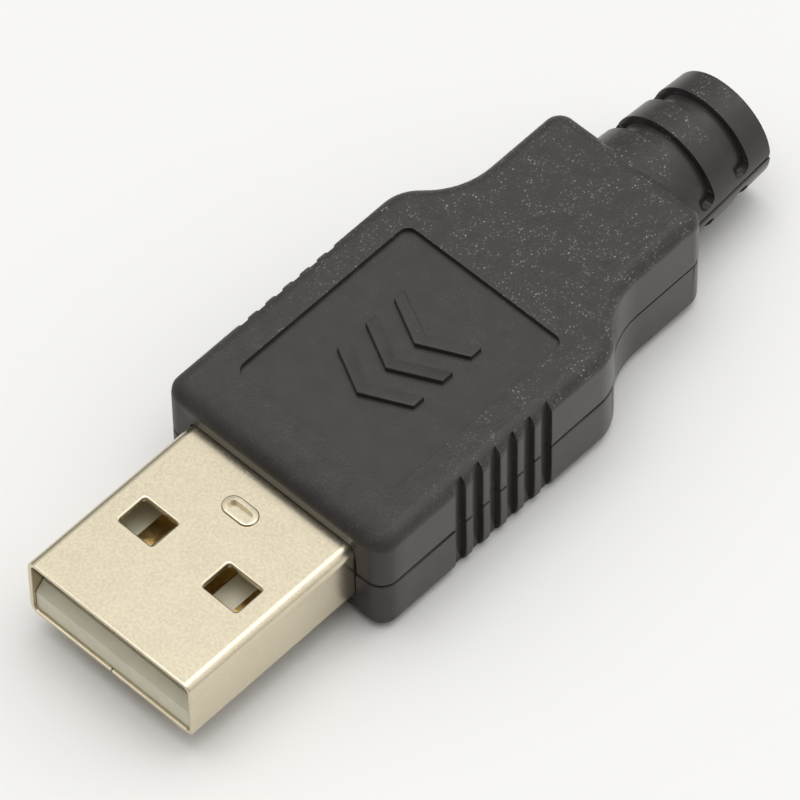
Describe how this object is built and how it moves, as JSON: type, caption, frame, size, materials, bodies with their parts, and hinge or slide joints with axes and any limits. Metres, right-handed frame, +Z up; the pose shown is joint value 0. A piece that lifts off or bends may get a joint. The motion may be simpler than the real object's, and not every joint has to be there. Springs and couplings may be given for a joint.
{
  "type": "usb-a plug",
  "caption": "Straight type A cable plug: a folded metal shield round a tongue with contacts, in a two-part snap-together housing with a round cable tail.",
  "frame": {"origin": "on the underside of the lower shell, centred across the plug and between the mouth and the end of the cable tail", "axes": "+Y from the mouth to the cable, +Z up through both shells, +X across"},
  "size_m": [0.016, 0.0476, 0.0079],
  "materials": {
    "black_plastic": "fine spark-eroded texture, charcoal black",
    "plated_sheet": "satin nickel plating",
    "white_plastic": "plain moulded white",
    "contact_metal": "gold flash"
  },
  "bodies": {
    "root": {"upper_shell": "black_plastic", "lower_shell": "black_plastic", "plug_shield": "plated_sheet", "insulator": "white_plastic", "power_contact": "contact_metal", "data_minus_contact": "contact_metal", "data_plus_contact": "contact_metal", "ground_contact": "contact_metal"}
  },
  "joints": []
}
